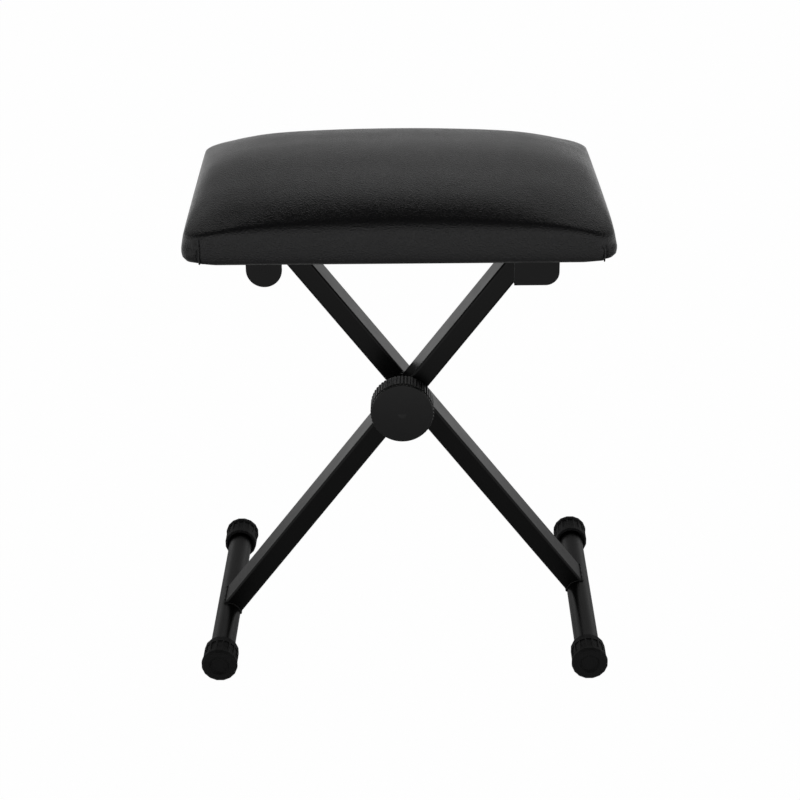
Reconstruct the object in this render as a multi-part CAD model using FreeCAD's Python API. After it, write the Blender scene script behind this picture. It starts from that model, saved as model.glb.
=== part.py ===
import FreeCAD, Part
import math
import os

V = FreeCAD.Vector

# Folding bench for a keyboard player: two crossed legs that turn about one clamped
# bolt, round feet that run front to back, and a padded seat. Millimetres, +Z up,
# X to the right, the player's front at -Y. The origin is on the floor, centred.

# Frame
leg_angle = 52.5            # lean of both legs above the floor, in degrees
lower_reach = 308.0         # crossing bolt to foot tube
upper_reach = 210.7         # crossing bolt to cross tube under the seat
leg_width = 20.5            # leg section, across the lean
leg_depth = 36.0            # leg section, front to back
leg_corner = 2.5
leg_wall = 1.5
leg_gap = 6.6               # between the two legs, filled by the toothed discs
tube_radius = 12.5          # feet and cross tubes
tube_wall = 1.5
weld_gap = 0.02             # fit-up gap of a welded saddle

# Feet
foot_length = 287.0         # over the rubber caps
cap_radius = 18.0           # centre to a flat of the cap's end rim
cap_length = 30.0
cap_sides = 16
cap_rim = 7.0               # length of the end rim
cap_step = 0.8              # the cap behind the rim is this much smaller
cap_mouth = 8.0             # plain band at the mouth
cap_pocket_width = 5.0
cap_pocket_depth = 0.8
cap_bevel = 2.2
cap_end_wall = 6.0
cap_dish_radius = 10.3      # round dish in the end face, and its flat floor
cap_dish_floor = 8.5
cap_dish_depth = 2.0
cap_flare_radius = 14.8     # wider mouth round the tube
cap_flare_depth = 5.0
push_gap = 0.05             # a plug or cap pushed onto a tube

# Crossing bolt, discs and knob
bolt_radius = 4.0
bolt_head_radius = 9.5
bolt_head_height = 4.2
bolt_neck = 8.0
bolt_neck_length = 2.6
running_gap = 0.05          # turning fit, on the radius
sleeve_radius = 7.0
disc_radius = 16.0
disc_bore = 7.6
disc_base = 1.8
disc_teeth = 24
tooth_share = 0.92          # of the pitch, open at the tips
tooth_tip_gap = 0.3
washer_radius = 15.0
washer_thickness = 1.6
thrust_radius = 13.0
thrust_thickness = 2.0
face_gap = 0.15             # between stacked faces at the crossing
knob_radius = 31.8          # over the ribs
knob_ribs = 54
knob_rib_depth = 0.9
knob_edge = 1.0             # plain edge before and behind the ribs
knob_body_length = 20.8
knob_wall = 3.2
knob_floor = 3.0
knob_hub_radius = 11.0
knob_webs = 6
knob_web_thickness = 2.0
knob_cap_radius = 30.8
knob_cap_edge = 2.4
knob_cap_dome = 1.1
knob_cap_skirt = 3.5
insert_radius = 6.0
insert_length = 14.0

# Brackets under the seat
ear_face = 103.5            # outer face of the brackets, from the centre plane
sheet = 2.0                 # bracket steel
ear_radius = 17.0
bend_inside = 1.5
flange_length = 58.0
flange_depth = 29.0
side_gap = 0.3              # between a tube's end plug and the bracket beside it
stud_radius = 5.0
stud_length = 13.0
stud_spigot = 3.4
plug_length = 16.0
bush_flange = 1.0
bush_flange_radius = 14.5
glide_radius = 15.0
glide_thickness = 5.2
glide_bore = 6.0
slide_open = 20.6           # from the cross tube's centre to the slide bracket's open end
slide_closed = 21.9         # and to its closed end
slide_corner = 13.0
slide_lip = 13.5
slide_flange_depth = 33.0
liner_thickness = 2.6

# Screws into the board
screw_radius = 2.5
screw_head_radius = 4.6
screw_head_flat = 3.0        # radius of the flat under the head's slope
screw_head_height = 2.8
screw_reach = 9.0
hole_gap = 0.25
tee_flange_radius = 8.0
tee_flange = 1.2
tee_sides = 8
tee_barrel = 3.4
tee_barrel_length = 8.0
screw_inset = 9.5           # screw centre to the inner edge of the flange
pivot_screw_spread = 40.0
slide_screw_spread = 28.0

# Seat
seat_half_x = 200.2         # at its widest
seat_half_y = 145.0
vinyl = 1.0
cloth = 0.6
cloth_margin = 14.0         # from the board's edge to the dust cloth
board_thickness = 12.0
foam_edge = 12.0            # foam outside the board's edge
board_corner = 22.0
fold_width = 27.0           # vinyl turned in under the board
fold_corner = 12.0
foam_gap = 0.3
# Outer form of the padded seat, from the bottom edge up: height above the bottom edge,
# how far the ends and the front and rear are drawn in, corner radius
cushion_form = [
    (0.0, 7.4, 4.7, 22.0),
    (3.0, 2.5, 2.6, 17.0),
    (11.0, 0.0, 0.0, 16.0),
    (21.3, 1.2, 0.0, 34.0),
    (31.5, 4.5, 3.0, 61.0),
    (41.0, 9.0, 11.4, 77.0),
    (49.0, 22.8, 24.2, 81.0),
    (56.0, 60.5, 46.0, 76.0),
    (60.2, 116.0, 92.0, 50.0),
]

# Places worked out from the sizes above
lean = math.radians(leg_angle)
crossing_z = cap_radius + lower_reach * math.sin(lean)
foot_x = lower_reach * math.cos(lean)
foot_z = cap_radius
pivot_x = upper_reach * math.cos(lean)
pivot_z = crossing_z + upper_reach * math.sin(lean)
flange_bottom = pivot_z + glide_radius + side_gap + liner_thickness
flange_top = flange_bottom + sheet
seat_bottom = flange_top + cloth
board_bottom = seat_bottom + vinyl
board_top = board_bottom + board_thickness
board_half_x = seat_half_x - foam_edge
board_half_y = seat_half_y - foam_edge
slide_left = pivot_x - slide_open
slide_right = pivot_x + slide_closed
ear_inside = ear_face - sheet
front_leg_face = -(leg_gap / 2 + leg_depth)
rear_leg_face = leg_gap / 2 + leg_depth
knob_back = front_leg_face - washer_thickness - thrust_thickness - 2 * face_gap
slide_floor = pivot_z - glide_radius - side_gap


def rod(x, z, radius, y0, y1):
    """Round bar that runs front to back."""
    return Part.makeCylinder(radius, y1 - y0, V(x, y0, z), V(0, 1, 0))


def pipe(x, z, outer, inner, y0, y1):
    return rod(x, z, outer, y0, y1).cut(rod(x, z, inner, y0 - 1, y1 + 1))


def post(x, y, radius, z0, z1):
    """Round bar that stands upright."""
    return Part.makeCylinder(radius, z1 - z0, V(x, y, z0), V(0, 0, 1))


def block(x0, x1, y0, y1, z0, z1):
    return Part.makeBox(x1 - x0, y1 - y0, z1 - z0, V(x0, y0, z0))


def outline(points):
    """Closed wire. A point is (x, y, z), and a pair of points in a row is an arc's middle and end."""
    edges = []
    here = V(*points[0])
    for item in points[1:]:
        if len(item) == 2:
            middle, end = V(*item[0]), V(*item[1])
            edges.append(Part.Arc(here, middle, end).toShape())
        else:
            end = V(*item)
            edges.append(Part.LineSegment(here, end).toShape())
        here = end
    return Part.Wire(edges)


def rounded_rectangle(half_a, half_b, radius, place):
    """Wire of a rectangle with round corners; place turns (a, b) into a point."""
    inner_a, inner_b = half_a - radius, half_b - radius
    quarter = math.pi / 2
    corners = [(inner_a, inner_b), (-inner_a, inner_b), (-inner_a, -inner_b), (inner_a, -inner_b)]
    edges = []
    last = None
    first = None
    for k, (a, b) in enumerate(corners):
        ends = []
        for turn in (0, 0.5, 1):
            t = quarter * (k + turn)
            ends.append(V(*place(a + radius * math.cos(t), b + radius * math.sin(t))))
        if last is not None:
            edges.append(Part.LineSegment(last, ends[0]).toShape())
        else:
            first = ends[0]
        edges.append(Part.Arc(*ends).toShape())
        last = ends[2]
    edges.append(Part.LineSegment(last, first).toShape())
    return Part.Wire(edges)


def spun(points, axis_point):
    """Solid turned about the crossing axis. Points are (radius, y)."""
    wire = outline([(axis_point.x + r, y, axis_point.z) for r, y in points + points[:1]])
    return Part.Face(wire).revolve(axis_point, V(0, 1, 0), 360)


def dome_middle(radius, height):
    """Radius and drop from the top of the point half way down a round dome."""
    ball = (radius ** 2 + height ** 2) / (2 * height)
    half = math.asin(radius / ball) / 2
    return ball * math.sin(half), ball * (1 - math.cos(half))


def mirrored(shape):
    """The same piece on the other side of the centre plane, front to rear."""
    return shape.mirror(V(0, 0, 0), V(0, 1, 0))


def both_ends(make):
    """One solid at the front and its mirror image at the rear, in one node."""
    rear = make()
    return Part.Compound([rear, mirrored(rear)])


# Legs
def leg(side, y0):
    """Rectangular tube. side is +1 for the leg that leans to the right, -1 for the other."""
    def at(y, z):
        return (-lower_reach, y + y0 + leg_depth / 2, z)

    length = lower_reach + upper_reach
    outer = Part.Face(rounded_rectangle(leg_depth / 2, leg_width / 2, leg_corner, at))
    inside = Part.Face(rounded_rectangle(leg_depth / 2 - leg_wall, leg_width / 2 - leg_wall,
                                         leg_corner - leg_wall, at))
    tube = outer.extrude(V(length, 0, 0)).cut(inside.extrude(V(length, 0, 0)))
    turn = leg_angle if side > 0 else 180 - leg_angle
    tube.rotate(V(0, 0, 0), V(0, 1, 0), -turn)
    tube.translate(V(0, 0, crossing_z))
    reach = tube_radius + weld_gap
    tube = tube.cut(rod(-side * foot_x, foot_z, reach, y0 - 1, y0 + leg_depth + 1))
    return tube.cut(rod(side * pivot_x, pivot_z, reach, y0 - 1, y0 + leg_depth + 1))


def front_leg():
    y0 = front_leg_face
    hole = rod(0, crossing_z, sleeve_radius, y0 - 1, y0 + leg_depth + 1)
    return leg(1, y0).cut(hole)


def rear_leg():
    y0 = leg_gap / 2
    rear_wall = rear_leg_face - leg_wall - 1
    hole = rod(0, crossing_z, bolt_radius + running_gap, y0 - 1, rear_wall)
    half = bolt_neck / 2 + running_gap
    square = block(-half, half, rear_wall - 1, rear_leg_face + 1, crossing_z - half, crossing_z + half)
    return leg(-1, y0).cut(hole).cut(square)


def front_pivot_sleeve():
    return pipe(0, crossing_z, sleeve_radius, bolt_radius + running_gap, front_leg_face, -leg_gap / 2)


def rear_pivot_sleeve():
    y0 = leg_gap / 2 + leg_wall
    y1 = rear_leg_face - bolt_neck_length - face_gap
    return pipe(0, crossing_z, sleeve_radius, bolt_radius + running_gap, y0, y1)


# Feet and cross tubes
def foot_tube(side):
    half = foot_length / 2 - cap_end_wall
    return pipe(side * foot_x, foot_z, tube_radius, tube_radius - tube_wall, -half, half)


def cross_tube(side, half):
    return pipe(side * pivot_x, pivot_z, tube_radius, tube_radius - tube_wall, -half, half)


def many_sided(to_flat, y0, y1):
    """Upright-ended bar along Y with cap_sides flats, one of them downwards."""
    corner = to_flat / math.cos(math.pi / cap_sides)
    ring = []
    for k in range(cap_sides + 1):
        t = 2 * math.pi * (k + 0.5) / cap_sides
        ring.append(V(corner * math.cos(t), y0, corner * math.sin(t)))
    return Part.Face(Part.makePolygon(ring)).extrude(V(0, y1 - y0, 0))


def edges_at(shape, y):
    """Outer edges of the end face that lies at y."""
    near = []
    for edge in shape.Edges:
        if all(abs(v.Point.y - y) < 1e-6 for v in edge.Vertexes):
            near.append(edge)
    return near


def foot_cap(side, end):
    """Rubber cap with flats all round, one of them on the floor. end is -1 at the front."""
    y1 = foot_length / 2
    y0 = y1 - cap_length
    rim_y = y1 - cap_rim
    rim = many_sided(cap_radius, rim_y, y1)
    rim = rim.makeChamfer(cap_bevel, edges_at(rim, y1))
    rim = rim.makeChamfer(cap_step, edges_at(rim, rim_y))
    sleeve_flat = cap_radius - cap_step
    body = many_sided(sleeve_flat, y0, rim_y)
    body = body.makeChamfer(cap_step, edges_at(body, y0))
    body = body.fuse(rim)
    half = cap_pocket_width / 2
    for k in range(cap_sides):
        pocket = block(-half, half, y0 + cap_mouth, rim_y - cap_step,
                       sleeve_flat - cap_pocket_depth, cap_radius)
        pocket.rotate(V(0, 0, 0), V(0, 1, 0), 360.0 * k / cap_sides)
        body = body.cut(pocket)
    body = body.cut(rod(0, 0, tube_radius + push_gap, y0 - 1, y1 - cap_end_wall))
    body = body.cut(rod(0, 0, cap_flare_radius, y0 - 1, y0 + cap_flare_depth))
    body = body.cut(Part.makeCone(cap_dish_floor, cap_dish_radius, cap_dish_depth,
                                  V(0, y1 - cap_dish_depth, 0), V(0, 1, 0)))
    if end < 0:
        body = mirrored(body)
    body.translate(V(side * foot_x, 0, foot_z))
    return body


# Ends of the cross tubes
def left_tube_bushes():
    """Nylon bushes in the left cross tube: the seat's studs turn in them."""
    def one():
        end = ear_inside - side_gap
        flange = rod(-pivot_x, pivot_z, bush_flange_radius, end - bush_flange, end)
        plug_radius = tube_radius - tube_wall - push_gap
        plug = rod(-pivot_x, pivot_z, plug_radius, end - bush_flange - plug_length, end)
        bore = rod(-pivot_x, pivot_z, stud_radius + running_gap, end - plug_length - 5, end + 1)
        return flange.fuse(plug).removeSplitter().cut(bore)
    return both_ends(one)


def right_tube_glides():
    """Nylon end plugs of the right cross tube: their flanges run in the slide brackets."""
    def one():
        end = ear_inside - side_gap
        flange = rod(pivot_x, pivot_z, glide_radius, end - glide_thickness, end)
        plug_radius = tube_radius - tube_wall - push_gap
        plug = rod(pivot_x, pivot_z, plug_radius, end - glide_thickness - plug_length, end)
        bore = rod(pivot_x, pivot_z, glide_bore, end - glide_thickness - plug_length - 1, end - 3)
        return flange.fuse(plug).removeSplitter().cut(bore)
    return both_ends(one)


# Crossing
def tooth_gap(pitch, depth):
    """Wedge cut between two teeth: it widens and deepens away from the axis, like the teeth."""
    reach = disc_radius + 2
    half = reach * math.tan(pitch * tooth_share / 2)
    deep = depth * reach / disc_radius
    over = 0.2
    wide = half * (deep + over) / deep
    apex = V(0, 0, 0)
    root = V(reach, deep, 0)
    left, right = V(reach, -over, wide), V(reach, -over, -wide)
    faces = []
    for corners in ((apex, root, left), (apex, right, root), (apex, left, right), (root, right, left)):
        faces.append(Part.Face(Part.makePolygon(list(corners) + [corners[0]])))
    wedge = Part.makeSolid(Part.makeShell(faces))
    if wedge.Volume < 0:
        wedge.reverse()
    return wedge


def lock_disc(side):
    """Welded disc with radial teeth on its face. side is +1 on the rear leg, -1 on the front leg."""
    tip = tooth_tip_gap / 2
    back = leg_gap / 2
    disc = pipe(0, 0, disc_radius, bolt_radius + 2 * running_gap, tip, back)
    depth = back - disc_base - tip
    disc = disc.cut(rod(0, 0, disc_bore, tip - 1, tip + depth))
    gap = tooth_gap(2 * math.pi / disc_teeth, depth)
    gap.translate(V(0, tip, 0))
    for k in range(disc_teeth):
        turned = gap.copy()
        turned.rotate(V(0, 0, 0), V(0, 1, 0), 360.0 * k / disc_teeth)
        disc = disc.cut(turned)
    if side < 0:
        disc = mirrored(disc)
    disc.translate(V(0, 0, crossing_z))
    return disc


def pivot_bolt():
    """Round-headed bolt with a square neck, from the rear leg through to the knob."""
    end = knob_back - insert_length
    shank = rod(0, crossing_z, bolt_radius, end, rear_leg_face)
    half = bolt_neck / 2
    neck = block(-half, half, rear_leg_face - bolt_neck_length, rear_leg_face,
                 crossing_z - half, crossing_z + half)
    y0, y1 = rear_leg_face, rear_leg_face + bolt_head_height
    rim = 0.8
    arc_r, drop = dome_middle(bolt_head_radius, bolt_head_height - rim)
    z = crossing_z
    wire = outline([(0, y0, z), (bolt_head_radius, y0, z), (bolt_head_radius, y0 + rim, z),
                    ((arc_r, y1 - drop, z), (0, y1, z)), (0, y0, z)])
    head = Part.Face(wire).revolve(V(0, 0, crossing_z), V(0, 1, 0), 360)
    return shank.fuse(neck).fuse(head).removeSplitter()


def steel_washer():
    y1 = front_leg_face
    return pipe(0, crossing_z, washer_radius, bolt_radius + 4 * running_gap, y1 - washer_thickness, y1)


def thrust_washer():
    y1 = knob_back + face_gap + thrust_thickness
    return pipe(0, crossing_z, thrust_radius, bolt_radius + 4 * running_gap, knob_back + face_gap, y1)


def knob_body():
    """Ribbed moulding: outer wall, floor at the back, hub for the threaded insert, and webs."""
    y0, y1 = knob_back - knob_body_length, knob_back
    root = knob_radius - knob_rib_depth
    pitch = 2 * math.pi / knob_ribs
    ring = []
    for k in range(knob_ribs):
        for share, r in ((0.0, root), (0.3, knob_radius), (0.7, knob_radius)):
            t = pitch * (k + share)
            ring.append(V(r * math.cos(t), y0 + knob_edge, r * math.sin(t)))
    ring.append(ring[0])
    body = Part.Face(Part.makePolygon(ring)).extrude(V(0, knob_body_length - 2 * knob_edge, 0))
    core = root - push_gap
    rim = [(0, y0), (core, y0), (core, y1 - knob_edge), (core - knob_edge, y1), (0, y1)]
    body = body.fuse(spun(rim, V(0, 0, 0)))
    cavity = rod(0, 0, root - knob_wall, y0 - 1, y1 - knob_floor)
    hub = rod(0, 0, knob_hub_radius, y0 + knob_cap_skirt, y1 - knob_floor)
    cavity = cavity.cut(hub)
    half = knob_web_thickness / 2
    for k in range(knob_webs):
        web = block(0, knob_radius, y0 + knob_cap_skirt + 1, y1, -half, half)
        web.rotate(V(0, 0, 0), V(0, 1, 0), k * 360.0 / knob_webs)
        cavity = cavity.cut(web)
    body = body.cut(cavity)
    body = body.cut(rod(0, 0, insert_radius + push_gap, y1 - insert_length - 0.5, y1 + 1))
    body.translate(V(0, 0, crossing_z))
    return body


def knob_cap():
    """Plain, slightly domed disc pushed into the front of the knob."""
    y0 = knob_back - knob_body_length
    edge_y = y0 - knob_cap_edge
    top_y = edge_y - knob_cap_dome
    soft = 0.9
    side_r = knob_cap_radius
    skirt = knob_radius - knob_rib_depth - knob_wall - push_gap
    mid_r, drop = dome_middle(side_r - soft, knob_cap_dome)
    z = crossing_z
    skirt_y = y0 + knob_cap_skirt
    wire = outline([(0, y0, z), (skirt - 2, y0, z), (skirt - 2, skirt_y, z), (skirt, skirt_y, z),
                    (skirt, y0, z), (side_r, y0, z), (side_r, edge_y + soft, z),
                    ((side_r - soft * 0.3, edge_y + soft * 0.3, z), (side_r - soft, edge_y, z)),
                    ((mid_r, top_y + drop, z), (0, top_y, z)), (0, y0, z)])
    return Part.Face(wire).revolve(V(0, 0, z), V(0, 1, 0), 360)


def knob_insert():
    return pipe(0, crossing_z, insert_radius, bolt_radius + running_gap, knob_back - insert_length, knob_back)


# Brackets
def screw_spots(x, spread, depth):
    y = ear_face - depth + screw_inset
    return [(x - spread / 2, y), (x + spread / 2, y)]


pivot_spots = screw_spots(-pivot_x, pivot_screw_spread, flange_depth)
slide_spots = screw_spots((slide_left + slide_right) / 2, slide_screw_spread, slide_flange_depth)
rear_spots = pivot_spots + slide_spots


def drilled(shape, spots, radius):
    for x, y in spots:
        shape = shape.cut(post(x, y, radius, flange_bottom - 1, board_top + 1))
    return shape


def flange(x0, x1, depth):
    centre = ((x0 + x1) / 2, ear_face - depth / 2)
    half_x, half_y = (x1 - x0) / 2, depth / 2

    def at(a, b):
        return (centre[0] + a, centre[1] + b, flange_bottom)
    return Part.Face(rounded_rectangle(half_x, half_y, 4.0, at)).extrude(V(0, 0, sheet))


def pivot_bracket():
    """Bent steel: a flange under the board and an ear with a round end."""
    y0, y1 = ear_inside, ear_face
    left, right = -pivot_x - ear_radius, -pivot_x + ear_radius
    ear_top = flange_top - bend_inside - sheet
    wire = outline([(left, y0, ear_top), (left, y0, pivot_z),
                    ((-pivot_x, y0, pivot_z - ear_radius), (right, y0, pivot_z)),
                    (right, y0, ear_top), (left, y0, ear_top)])
    ear = Part.Face(wire).extrude(V(0, sheet, 0))
    # the bend between ear and flange, as a quarter ring
    out_r, in_r = bend_inside + sheet, bend_inside
    cy, cz = y1 - out_r, flange_top - out_r
    c, s = math.cos(math.pi / 4), math.sin(math.pi / 4)
    bend = outline([(left, y1, cz), ((left, cy + out_r * c, cz + out_r * s), (left, cy, cz + out_r)),
                    (left, cy, cz + in_r), ((left, cy + in_r * c, cz + in_r * s), (left, cy + in_r, cz)),
                    (left, y1, cz)])
    bend = Part.Face(bend).extrude(V(2 * ear_radius, 0, 0))
    plate = flange(-pivot_x - flange_length / 2, -pivot_x + flange_length / 2, flange_depth)
    plate = plate.cut(block(-pivot_x - flange_length, -pivot_x + flange_length, cy, y1 + 1,
                            flange_bottom - 1, flange_top + 1))
    shape = ear.fuse(bend).fuse(plate).removeSplitter()
    shape = shape.cut(rod(-pivot_x, pivot_z, stud_spigot + push_gap, y0 - 1, y1 + 1))
    return drilled(shape, pivot_spots, screw_radius + hole_gap)


def slide_outline(inset, y):
    """Side view of the slide bracket: square at its open end, one round corner at the other."""
    left = slide_left - (2 * inset)
    right = slide_right - inset
    low = slide_floor - sheet + inset
    high = flange_bottom + inset
    radius = slide_corner - inset
    c = math.cos(math.pi / 4)
    middle = (right - radius + radius * c, y, low + radius - radius * c)
    return outline([(left, y, high), (left, y, low), (right - radius, y, low),
                    (middle, (right, y, low + radius)), (right, y, high), (left, y, high)])


def slide_bracket():
    """Pressed steel tray, open at its inner end, that holds the right cross tube's end plug."""
    y1 = ear_face
    y0 = y1 - slide_lip
    body = Part.Face(slide_outline(0, y0)).extrude(V(0, slide_lip, 0))
    pocket = Part.Face(slide_outline(sheet, y0 - 1)).extrude(V(0, slide_lip - sheet + 1, 0))
    body = body.cut(pocket)
    body = body.fuse(flange(slide_left, slide_right, slide_flange_depth)).removeSplitter()
    return drilled(body, slide_spots, screw_radius + hole_gap)


def slide_liners():
    """Nylon strips under the flanges of the slide brackets: the end plugs bear on them."""
    def one():
        y1 = ear_inside - side_gap
        y0 = y1 - slide_lip + sheet + 1
        low = pivot_z + glide_radius + side_gap
        return block(slide_left + 1, slide_right - sheet - side_gap, y0, y1, low, flange_bottom)
    return both_ends(one)


def pivot_studs():
    """Studs riveted flush into the ears."""
    def one():
        pin = rod(-pivot_x, pivot_z, stud_radius, ear_inside - stud_length, ear_inside)
        return pin.fuse(rod(-pivot_x, pivot_z, stud_spigot, ear_inside, ear_face))
    return both_ends(one)


def at_every_spot(make):
    solids = []
    for x, y in rear_spots:
        one = make(x, y)
        solids += [one, mirrored(one)]
    return Part.Compound(solids)


def bracket_screws():
    def one(x, y):
        low = V(x, y, flange_bottom - screw_head_height)
        head = Part.makeCone(screw_head_flat, screw_head_radius, screw_head_height, low, V(0, 0, 1))
        return head.fuse(post(x, y, screw_radius, flange_bottom, board_bottom + screw_reach))
    return at_every_spot(one)


def board_tee_nuts():
    def one(x, y):
        top = board_top
        corners = []
        for k in range(tee_sides + 1):
            t = 2 * math.pi * k / tee_sides
            out_x, out_y = tee_flange_radius * math.cos(t), tee_flange_radius * math.sin(t)
            corners.append(V(x + out_x, y + out_y, top - tee_flange))
        plate = Part.Face(Part.makePolygon(corners)).extrude(V(0, 0, tee_flange))
        barrel = post(x, y, tee_barrel, top - tee_barrel_length, top)
        bore = post(x, y, screw_radius + push_gap, top - tee_barrel_length - 1, top + 1)
        return plate.fuse(barrel).removeSplitter().cut(bore)
    return at_every_spot(one)


# Seat
def every_spot():
    return rear_spots + [(x, -y) for x, y in rear_spots]


def cushion(inset, low):
    """The padded form, drawn in by inset all round, from height low up."""
    wires = []
    base = cushion_form[0][0]
    crown = cushion_form[-1][0]
    for height, ends_in, sides_in, radius in cushion_form:
        share = (height - base) / (crown - base)
        z = low + share * (seat_bottom + crown - inset - low)

        def at(a, b, z=z):
            return (a, b, z)
        half_x = seat_half_x - ends_in - inset
        half_y = seat_half_y - sides_in - inset
        wires.append(rounded_rectangle(half_x, half_y, radius - inset, at))
    return Part.makeLoft(wires, True, True)


def seat_plate(inset, corner, z0, z1):
    """Plate as large as the board, drawn in by inset all round."""
    def at(a, b):
        return (a, b, z0)
    plate = Part.Face(rounded_rectangle(board_half_x - inset, board_half_y - inset, corner, at))
    return plate.extrude(V(0, 0, z1 - z0))


def seat_board():
    board = seat_plate(0, board_corner, board_bottom, board_top)
    for x, y in every_spot():
        board = board.cut(post(x, y, tee_barrel + push_gap, board_bottom - 1, board_top + 1))
        board = board.cut(post(x, y, tee_flange_radius + push_gap, board_top - tee_flange, board_top + 1))
    return board


def seat_cover():
    """Vinyl over the foam, turned in under the board."""
    cover = cushion(0.0, seat_bottom).cut(cushion(vinyl, board_bottom))
    cover = cover.cut(seat_plate(fold_width, fold_corner, seat_bottom - 1, board_bottom + 1))
    return drilled(cover, every_spot(), screw_radius + hole_gap)


def seat_foam():
    """Foam block over the board and round its edge."""
    low = board_bottom + foam_gap / 2
    body = cushion(vinyl + foam_gap, low)
    return body.cut(seat_plate(-foam_gap, board_corner + foam_gap, low - 1, board_top))


def dust_cloth():
    cloth_sheet = seat_plate(cloth_margin, board_corner, seat_bottom - cloth, seat_bottom)
    return drilled(cloth_sheet, every_spot(), screw_radius + hole_gap)


right_tube_half = ear_inside - side_gap - glide_thickness
left_tube_half = ear_inside - side_gap - bush_flange
nodes = {
    "rear_leg": rear_leg(),
    "left_cross_tube": cross_tube(-1, left_tube_half),
    "left_tube_bushes": left_tube_bushes(),
    "right_foot_tube": foot_tube(1),
    "right_front_foot_cap": foot_cap(1, -1),
    "right_rear_foot_cap": foot_cap(1, 1),
    "rear_lock_disc": lock_disc(1),
    "rear_pivot_sleeve": rear_pivot_sleeve(),
    "pivot_bolt": pivot_bolt(),
    "front_leg": front_leg(),
    "right_cross_tube": cross_tube(1, right_tube_half),
    "right_tube_glides": right_tube_glides(),
    "left_foot_tube": foot_tube(-1),
    "left_front_foot_cap": foot_cap(-1, -1),
    "left_rear_foot_cap": foot_cap(-1, 1),
    "front_lock_disc": lock_disc(-1),
    "front_pivot_sleeve": front_pivot_sleeve(),
    "steel_washer": steel_washer(),
    "thrust_washer": thrust_washer(),
    "knob_body": knob_body(),
    "knob_cap": knob_cap(),
    "knob_insert": knob_insert(),
    "rear_pivot_bracket": pivot_bracket(),
    "front_pivot_bracket": mirrored(pivot_bracket()),
    "rear_slide_bracket": slide_bracket(),
    "front_slide_bracket": mirrored(slide_bracket()),
    "pivot_studs": pivot_studs(),
    "slide_liners": slide_liners(),
    "bracket_screws": bracket_screws(),
    "board_tee_nuts": board_tee_nuts(),
    "seat_board": seat_board(),
    "seat_foam": seat_foam(),
    "seat_cover": seat_cover(),
    "dust_cloth": dust_cloth(),
}

os.makedirs("parts", exist_ok=True)
for name, shape in nodes.items():
    shape.exportStep("parts/" + name + ".step")
    state = "valid" if shape.isValid() else "NOT VALID"
    print(name, len(shape.Solids), "solids", round(shape.Volume), "mm3", state)
print("pivot", round(pivot_x, 3), round(pivot_z, 3))
print("crossing", round(crossing_z, 3), "foot", round(foot_x, 3))
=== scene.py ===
import math
import random

import bmesh
import bpy
from mathutils import Matrix, Vector
from mathutils.kdtree import KDTree


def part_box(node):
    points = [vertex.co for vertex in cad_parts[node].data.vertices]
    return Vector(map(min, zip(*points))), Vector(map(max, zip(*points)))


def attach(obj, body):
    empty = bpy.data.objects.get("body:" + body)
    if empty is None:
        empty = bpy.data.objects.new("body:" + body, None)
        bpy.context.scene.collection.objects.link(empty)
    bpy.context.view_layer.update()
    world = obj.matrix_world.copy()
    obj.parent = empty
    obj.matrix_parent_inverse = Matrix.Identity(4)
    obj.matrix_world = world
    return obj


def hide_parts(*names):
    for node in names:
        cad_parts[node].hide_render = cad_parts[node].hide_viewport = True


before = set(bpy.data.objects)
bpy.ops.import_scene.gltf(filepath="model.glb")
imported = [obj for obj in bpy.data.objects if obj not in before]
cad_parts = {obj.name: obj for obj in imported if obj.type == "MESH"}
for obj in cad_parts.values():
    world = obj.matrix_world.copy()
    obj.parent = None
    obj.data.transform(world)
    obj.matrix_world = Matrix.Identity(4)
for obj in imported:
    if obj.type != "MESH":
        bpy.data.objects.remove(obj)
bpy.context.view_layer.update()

MM = 0.001

# Sizes that repeat the part's own, in metres, and the lean of its legs
SEAT_HALF_X = 0.2002
SEAT_HALF_Y = 0.145
LEG_WIDTH = 0.0205
LEG_DEPTH = 0.036
LEG_CORNER = 0.0025
LEG_GAP = 0.0066
LOWER_REACH = 0.308
UPPER_REACH = 0.2107
TUBE_RADIUS = 0.0125
CAP_RADIUS = 0.018
LEAN = math.radians(52.5)

# Outer form of the padded seat from the bottom edge up, in millimetres: height, how far
# the ends and the front and rear are drawn in, corner radius
CUSHION_FORM = [
    (0.0, 9.5, 4.3, 24.0),
    (3.0, 1.6, 1.1, 16.0),
    (11.0, -0.6, -0.3, 14.0),
    (21.3, 0.4, -0.4, 20.0),
    (30.0, 2.3, 0.0, 20.0),
    (36.0, 4.8, 1.2, 25.0),
    (40.5, 7.6, 4.2, 31.0),
    (44.5, 11.6, 9.8, 34.0),
    (49.5, 19.0, 19.2, 36.0),
    (55.4, 36.0, 37.0, 42.0),
    (60.0, 58.0, 65.0, 44.0),
    (62.4, 86.0, 94.0, 40.0),
]
# The photographed seat sits a little turned and tilted on its frame
SEAT_TURN = math.radians(1.2)
SEAT_TILT = math.radians(-0.44)
SEAT_SHIFT = Vector((-0.0027, 0.0002, -0.0006))
# How far the bottom edge of the padding hangs, and how far the crown rises above its last row
RIM_SAG = 0.8 * MM
RIM_HEIGHT = 12.0
CROWN_RISE = 3.2 * MM

# Simulated swelling: pressure, grain of the simulated copy, frames, and how high up the bottom is held
SWELL_PRESSURE = 4.0
SWELL_GRAIN = 6 * MM
SWELL_FRAMES = 20
SWELL_HELD = 4 * MM
# The most that a point counts for, the share that is kept, how widely it is evened out and where it fades in
SWELL_CAP = 5.0 * MM
SWELL_SHARE = 0.2
SWELL_REACH = 34 * MM
SWELL_FROM, SWELL_FULL = 20 * MM, 48 * MM

# Points of the cushion round its edge and up its side
CUSHION_COLUMNS = 416
CUSHION_ROWS = 36
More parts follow.
